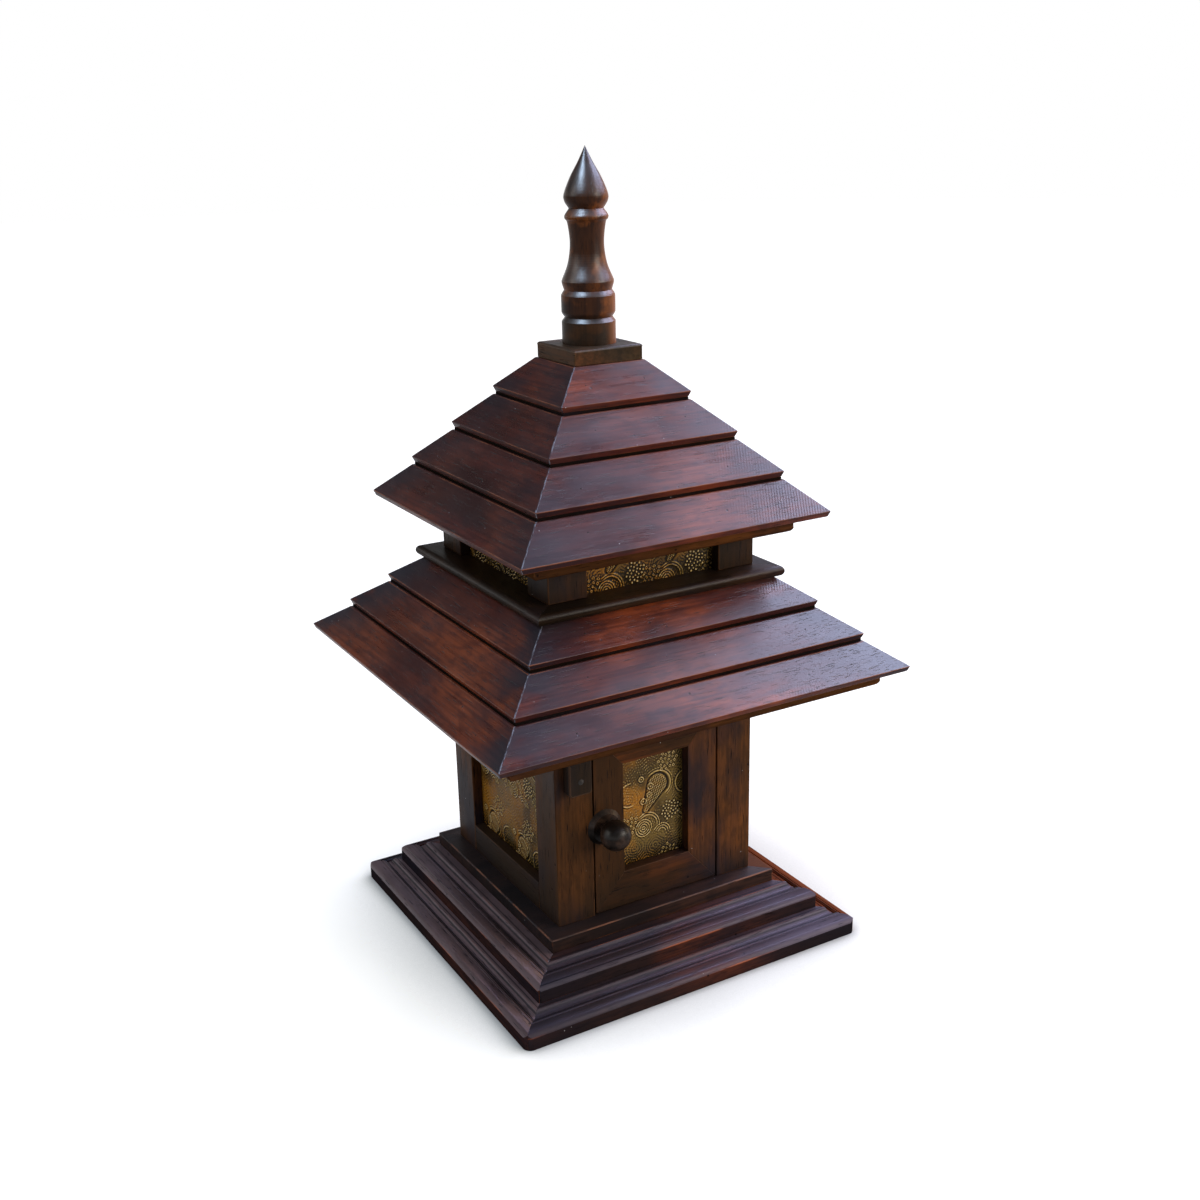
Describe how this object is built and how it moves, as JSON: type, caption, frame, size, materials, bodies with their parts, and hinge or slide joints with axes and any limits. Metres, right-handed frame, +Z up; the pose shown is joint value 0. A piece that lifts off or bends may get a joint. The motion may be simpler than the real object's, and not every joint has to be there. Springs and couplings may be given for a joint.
{
  "type": "tabletop wooden spirit house",
  "caption": "Tabletop teak spirit house with stepped mitred roofs, turned finial, moulded base, patterned amber glass and a small hinged door with a turn button.",
  "frame": {"origin": "centre of the underside of the base, on the surface it stands on", "axes": "+Z up along the finial; the door faces -Y; +X is the side where the door's pins are"},
  "size_m": [0.323, 0.323, 0.5698],
  "materials": {
    "dark_teak": "dark red-brown stain, semi-gloss, worn lighter at the edges",
    "turned_teak": "dark brown stain, turned and polished",
    "amber_glass": "pressed figured amber glass",
    "steel_nail": "plain wire nail"
  },
  "bodies": {
    "house": {"back_window_glass": "amber_glass", "balcony_slab_front_back": "dark_teak", "balcony_slab_sides": "dark_teak", "base_moulding_front_back": "dark_teak", "base_moulding_sides": "dark_teak", "cap_block": "dark_teak", "corner_posts": "dark_teak", "door_head": "dark_teak", "door_hinge_pins": "steel_nail", "eaves_board": "dark_teak", "finial": "turned_teak", "left_window_glass": "amber_glass", "lower_roof_plates": "dark_teak", "lower_roof_tier_1_front_back": "dark_teak", "lower_roof_tier_1_sides": "dark_teak", "lower_roof_tier_2_front_back": "dark_teak", "lower_roof_tier_2_sides": "dark_teak", "lower_roof_tier_3_front_back": "dark_teak", "lower_roof_tier_3_sides": "dark_teak", "plinth_board": "dark_teak", "right_window_glass": "amber_glass", "second_moulding_front_back": "dark_teak", "second_moulding_sides": "dark_teak", "turn_button_nail": "steel_nail", "upper_eaves_board": "dark_teak", "upper_glass_front_back": "amber_glass", "upper_glass_sides": "amber_glass", "upper_posts": "dark_teak", "upper_roof_plates": "dark_teak", "upper_roof_tier_1_front_back": "dark_teak", "upper_roof_tier_1_sides": "dark_teak", "upper_roof_tier_2_front_back": "dark_teak", "upper_roof_tier_2_sides": "dark_teak", "upper_roof_tier_3_front_back": "dark_teak", "upper_roof_tier_3_sides": "dark_teak", "upper_roof_tier_4_front_back": "dark_teak", "upper_roof_tier_4_sides": "dark_teak", "window_heads": "dark_teak", "window_sills": "dark_teak"},
    "door": {"door_stiles": "dark_teak", "door_rails": "dark_teak", "door_glass": "amber_glass", "door_glass_beads": "dark_teak", "door_knob": "turned_teak"},
    "turn_button": {"turn_button": "dark_teak"}
  },
  "joints": [
    {"name": "door_hinge", "type": "hinge", "parent": "house", "child": "door", "pos_m": [0.0451, -0.078, 0.11675], "axis": [0, 0, 1], "range_deg": [0, 105]},
    {"name": "button_swivel", "type": "hinge", "parent": "house", "child": "turn_button", "pos_m": [-0.066, -0.0863, 0.1585], "axis": [0, 1, 0], "range_deg": [0, 90]}
  ]
}
